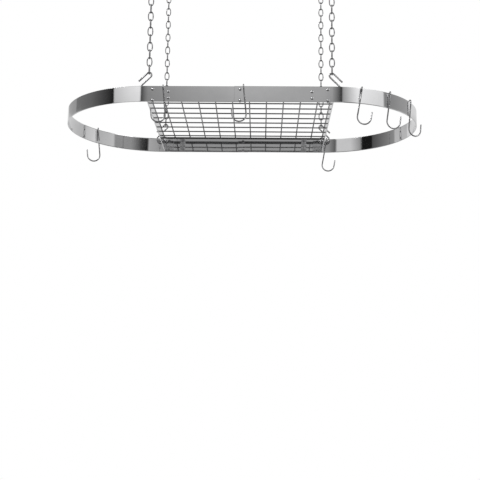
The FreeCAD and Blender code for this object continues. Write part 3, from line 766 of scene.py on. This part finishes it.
def screw_ridge(core):
    """The helical ridge of a wood screw, along +Y, which runs in and runs out at the point."""
    rings = []
    steps = int((SCREW_LENGTH - THREAD_END_GAP - THREAD_START) / THREAD_PITCH * THREAD_STEPS)
    for index in range(steps + 1):
        height = THREAD_START + index * THREAD_PITCH / THREAD_STEPS
        angle = 2 * math.pi * index / THREAD_STEPS
        to_tip = (SCREW_LENGTH - height) / SCREW_TAPER
        share = min(1.0, index / THREAD_RUN_IN, max(THREAD_LEAST, to_tip))
        root = core * min(1.0, max(SCREW_TIP_SHARE, to_tip)) * THREAD_SUNK
        crest = root + (CEILING_WIRE - core) * share
        out = Vector((math.cos(angle), 0, math.sin(angle)))
        rings.append([out * root + Y * (height - THREAD_HALF_WIDTH * share),
                      out * crest + Y * height,
                      out * root + Y * (height + THREAD_HALF_WIDTH * share)])
    return skin(rings)


def ceiling_wire():
    """The bent wire of a ceiling hook: its neck and its open loop."""
    centre = Vector((0, 0, CEILING_LOOP - CEILING_DROP))
    rise = math.sqrt((CEILING_LOOP + CEILING_BEND) ** 2 - CEILING_BEND ** 2)
    swing = math.degrees(math.atan2(rise, CEILING_BEND))
    neck_centre = centre + Vector((-CEILING_BEND, 0, rise))
    neck = arc(neck_centre, Vector((CEILING_BEND, 0, 0)), Y, swing)
    start = (neck_centre - centre).normalized() * CEILING_LOOP
    eye = arc(centre, start, -Y, 180 + swing + CEILING_LIP)
    path = [Vector((0, 0, -CEILING_OVERLAP))] + neck + eye[1:]
    return wire(path, Y, CEILING_WIRE)


def ceiling_hook(corner, side_x, side_y):
    """A screw hook with a collar and an open loop."""
    profile = [(COLLAR_RADIUS * wide, COLLAR_HEIGHT * high) for wide, high in COLLAR_PROFILE]
    collar = turned(profile + [(CEILING_WIRE, COLLAR_HEIGHT)], COLLAR_SIDES)
    downward = Matrix.Rotation(math.radians(-90), 4, "X")
    upward = Matrix.Rotation(math.radians(90), 4, "X")
    core = CEILING_WIRE * SCREW_CORE_SHARE
    parts = [ceiling_wire(), moved(collar, downward),
             moved(screw_core(core), upward), moved(screw_ridge(core), upward)]
    place = Matrix.Translation((side_x * CHAIN_PLACE[0], side_y * CHAIN_PLACE[1], 0))
    place = place @ turn_about_z(0 if side_x > 0 else 180)
    node = f"ceiling_hook_{corner}"
    piece(node, joined(f"{node}_mesh", [moved(part, place) for part in parts]))


# ---------------------------------------------------------------- chain hooks
def chain_hook(corner, side_x, side_y):
    """A wire hook from a hole in the cross bar up to the chain."""
    slope = math.radians(HANGER_SLOPE)
    inner = BAR_PLACE - WALL - HANGER_INSET
    centre = Vector((CHAIN_PLACE[0], 0, HANGER_RISE))
    downhill = Vector((math.cos(slope), 0, -math.sin(slope)))
    back = Vector((-math.sin(slope), 0, -math.cos(slope))) * HANGER_BEND
    leg_top = centre + back
    knee = leg_top + downhill * ((leg_top.z - HANGER_HOLE) / math.sin(slope))
    tail = Vector((inner, 0, HANGER_HOLE + HANGER_TAIL))
    path = rounded([tail, Vector((inner, 0, HANGER_HOLE)), knee, leg_top],
                   [HANGER_TAIL_BEND, HANGER_KNEE])
    path = path[:-1] + arc(centre, back, Y, 180)
    path.append(centre - back + downhill * HANGER_FREE)
    place = (Matrix.Translation((0, side_y * CHAIN_PLACE[1], middle))
             @ turn_about_z(0 if side_x > 0 else 180))
    node = f"chain_hook_{corner}"
    piece(node, joined(f"{node}_mesh", [moved(wire(path, Y, HANGER_WIRE), place)]))


# ---------------------------------------------------------------- pot hooks
def run_place(run, along):
    """The middle of the band where a pot hook hangs, the hook's turn, and half the wall there."""
    if run == "straight":
        sign = 1 if along > -LAP / 2 else -1
        half_wall = WALL / 2 + (WALL if abs(along) < LAP / 2 else 0)
        return Vector((along, sign * half_shift - band_middle, middle)), 0, half_wall
    sign = 1 if run == "right" else -1
    centre = Vector((sign * arc_centre, sign * half_shift, middle))
    place = centre + turn_about_z(along) @ Vector((band_middle, 0, 0))
    return place, along + 90, WALL / 2


def hook_wires(seat, side):
    """The two wires of a pot hook: the hairpin with its outer leg, and the lower bend."""
    half_gap = HOOK_GAP / 2
    foot = Vector((0, -half_gap, seat - HOOK_OUTER_LEG))
    hairpin = [Vector((0, half_gap, seat - HOOK_INNER_LEG))]
    hairpin += arc(Vector((0, 0, seat)), Vector((0, half_gap, 0)), X, 180)
    bend = arc(foot + X * (side * HOOK_BEND), X * (-side * HOOK_BEND), -side * Y, 180)
    end = foot + Vector((2 * side * HOOK_BEND, 0, HOOK_FREE_LEG))
    return (wire(hairpin + [foot], X, HOOK_WIRE * HOOK_SHRINK),
            wire([hairpin[-1]] + bend + [end], Y, HOOK_WIRE * HOOK_SHRINK))


def pot_hook(name, run, along, swivel, lean, side):
    """A hairpin over the band, a long outer leg and a wide lower bend."""
    place, turn, half_wall = run_place(run, along)
    turned_by = math.radians(swivel)
    slant = math.tan(math.radians(lean))
    stand_off = -side * BAND_HEIGHT * slant * math.sin(turned_by) / 2
    spread = (half_wall + abs(stand_off)) / math.cos(turned_by)
    spread += HOOK_EDGE_SHARE * HOOK_WIRE * abs(math.tan(turned_by))
    inside = HOOK_GAP / 2 - HOOK_WIRE
    top = BAND_HEIGHT / 2
    seat = top - math.sqrt(inside ** 2 - spread ** 2) + REST_GAP
    seat += HOOK_EDGE_SHARE * HOOK_WIRE * slant
    leaned = (Matrix.Translation((0, 0, top)) @ Matrix.Rotation(math.radians(side * lean), 4, "Y")
              @ Matrix.Translation((0, 0, -top)))
    swivelled = Matrix.Translation((0, -stand_off, 0)) @ turn_about_z(swivel)
    matrix = Matrix.Translation(place) @ turn_about_z(turn) @ swivelled @ leaned
    node = f"pot_hook_{name}"
    parts = [moved(part, matrix) for part in hook_wires(seat, side)]
    piece(node, joined(f"{node}_mesh", parts))


# ---------------------------------------------------------------- the whole rack
for half, turn in (("right", 0), ("left", 180)):
    band_half(half, turn)
    cross_bar(half, turn)
for corner, (side_x, side_y) in CORNERS.items():
    grid_clip(corner, side_x, side_y)
    chain(corner, side_x, side_y)
    ceiling_hook(corner, side_x, side_y)
    chain_hook(corner, side_x, side_y)
wire_grid()
bolt_group("cross_bar", (-BAR_BOLT_PLACE, BAR_BOLT_PLACE), BAR_BOLT_GAP, 2 * WALL)
bolt_group("band_lap", (0,), BAR_BOLT_GAP, 2 * WALL)
bolt_group("grid_clip", (-CLIP_PLACE, CLIP_PLACE), CLIP_BOLT_GAP, WALL + CLIP_WALL)
for hook in POT_HOOKS:
    pot_hook(*hook)


# ---------------------------------------------------------------- the studio around it
def ring_stops(ring):
    """The stops of a ring of cards, with a narrow step at each joint."""
    stops = []
    for start, end, first, last in ring:
        stops += [(start + CARD_JOINT / 2, first), (end - CARD_JOINT / 2, last)]
    return stops


def cards(tree, way):
    """The greys of the rings of cards in a direction, times the share of its height."""
    backward = calculated(tree, "MULTIPLY", way["Y"], -1.0)
    bearing = calculated(tree, "ARCTAN2", way["X"], backward)
    round_share = ranged(tree, bearing, (-math.pi, math.pi))
    upper = grey_ramp(tree, round_share, ring_stops(UPPER_RING), -180, 180)
    lower = grey_ramp(tree, round_share, ring_stops(LOWER_RING), -180, 180)
    ring = mixed(tree, ranged(tree, way["Z"], RINGS_MEET), lower, upper)
    scaled = [(height, share / HEIGHTS_SCALE) for height, share in HEIGHTS]
    heights = grey_ramp(tree, ranged(tree, way["Z"], (-1, 1)), scaled, -1, 1)
    room = vector_node(tree, "MULTIPLY", ring, heights)["Vector"]
    return vector_node(tree, "MULTIPLY", room, (HEIGHTS_SCALE,) * 3)["Vector"]


def surroundings():
    """A studio in the world's own nodes: white to the camera, grey cards to polished metal."""
    world = bpy.data.worlds.new("studio")
    bpy.context.scene.world = world
    world.use_nodes = True
    tree = world.node_tree
    tree.nodes.clear()
    split = tree.nodes.new("ShaderNodeSeparateXYZ")
    feed(tree, split.inputs["Vector"], tree.nodes.new("ShaderNodeTexCoord").outputs["Generated"])
    ray = tree.nodes.new("ShaderNodeLightPath").outputs
    dull = (DIFFUSE_GREY, DIFFUSE_GREY, DIFFUSE_GREY, 1)
    lit = mixed(tree, ray["Is Glossy Ray"], dull, cards(tree, split.outputs))
    straight = calculated(tree, "MAXIMUM", ray["Is Camera Ray"], ray["Is Transmission Ray"])
    light = tree.nodes.new("ShaderNodeBackground")
    feed(tree, light.inputs["Color"], mixed(tree, straight, lit, (1, 1, 1, 1)))
    output = tree.nodes.new("ShaderNodeOutputWorld")
    feed(tree, output.inputs["Surface"], light.outputs["Background"])


def floor_paint():
    """Pale paint that the camera sees turn to plain white far from the rack."""
    paint = bpy.data.materials.new("pale_floor")
    paint.use_nodes = True
    tree = paint.node_tree
    shader = tree.nodes["Principled BSDF"]
    shader.inputs["Base Color"].default_value = (FLOOR_GREY, FLOOR_GREY, FLOOR_GREY, 1)
    shader.inputs["Roughness"].default_value = FLOOR_ROUGHNESS
    place = tree.nodes.new("ShaderNodeTexCoord").outputs["Object"]
    flat = vector_node(tree, "MULTIPLY", place, (1, 1, 0))["Vector"]
    distance = vector_node(tree, "LENGTH", flat)["Value"]
    fade = ranged(tree, distance, FLOOR_FADE, interpolation="SMOOTHSTEP")
    ray = tree.nodes.new("ShaderNodeLightPath").outputs
    blend = tree.nodes.new("ShaderNodeMixShader")
    feed(tree, blend.inputs["Fac"], calculated(tree, "MULTIPLY", fade, ray["Is Camera Ray"]))
    feed(tree, blend.inputs[1], shader.outputs["BSDF"])
    feed(tree, blend.inputs[2], tree.nodes.new("ShaderNodeEmission").outputs["Emission"])
    feed(tree, tree.nodes["Material Output"].inputs["Surface"], blend.outputs["Shader"])
    return paint


def floor():
    """A plain pale floor far below the rack, which fades into the white around it."""
    mesh = bpy.data.meshes.new("studio_floor_mesh")
    half = FLOOR_SIZE / 2
    corners = [(x, y, FLOOR_HEIGHT) for x, y in ((-half, -half), (half, -half), (half, half),
                                                 (-half, half))]
    mesh.from_pydata(corners, [], [(0, 1, 2, 3)])
    made = bpy.data.objects.new("studio_floor", mesh)
    bpy.context.scene.collection.objects.link(made)
    made.visible_glossy = False
    made.data.materials.append(floor_paint())


def soft_lamp(name, place, faced, size, power):
    """A wide soft lamp that faces a point at the band's height."""
    lamp = bpy.data.lights.new(name, "AREA")
    lamp.size = size
    lamp.energy = power
    made = bpy.data.objects.new(name, lamp)
    made.location = place
    aim = Vector((*faced, middle)) - Vector(place)
    made.rotation_euler = aim.to_track_quat("-Z", "Y").to_euler()
    bpy.context.scene.collection.objects.link(made)
    return made


def only_lights(lamp, slot):
    """Make a lamp light only the pieces of one material slot."""
    lit = bpy.data.collections.new(f"{slot}_pieces")
    for node, its_slot in node_slot.items():
        if its_slot == slot:
            lit.objects.link(bpy.data.objects[f"{node}_finish"])
    lamp.light_linking.receiver_collection = lit


def camera():
    """The camera at the picture's own angle."""
    pitch = math.radians(CAMERA_PITCH)
    yaw = math.radians(CAMERA_YAW)
    forward = Vector((math.sin(yaw) * math.cos(pitch), math.cos(yaw) * math.cos(pitch),
                      math.sin(pitch)))
    level = Vector((math.cos(yaw), -math.sin(yaw), 0))
    roll = Quaternion(forward, math.radians(-CAMERA_ROLL))
    right = roll @ level
    upward = roll @ level.cross(forward)
    lens = bpy.data.cameras.new("camera")
    lens.sensor_width = SENSOR
    lens.lens = FOCAL_PIXELS / IMAGE_PIXELS * SENSOR
    made = bpy.data.objects.new("camera", lens)
    turn = Matrix((right, upward, -forward)).transposed()
    made.matrix_world = Matrix.Translation(CAMERA_PLACE) @ turn.to_4x4()
    bpy.context.scene.collection.objects.link(made)
    bpy.context.scene.camera = made


surroundings()
floor()
lamps = {name: soft_lamp(name, *lamp) for name, lamp in LAMPS.items()}
only_lights(lamps["near_lamp"], NEAR_LAMP_SLOT)
camera()
bpy.context.scene.view_settings.view_transform = "Standard"
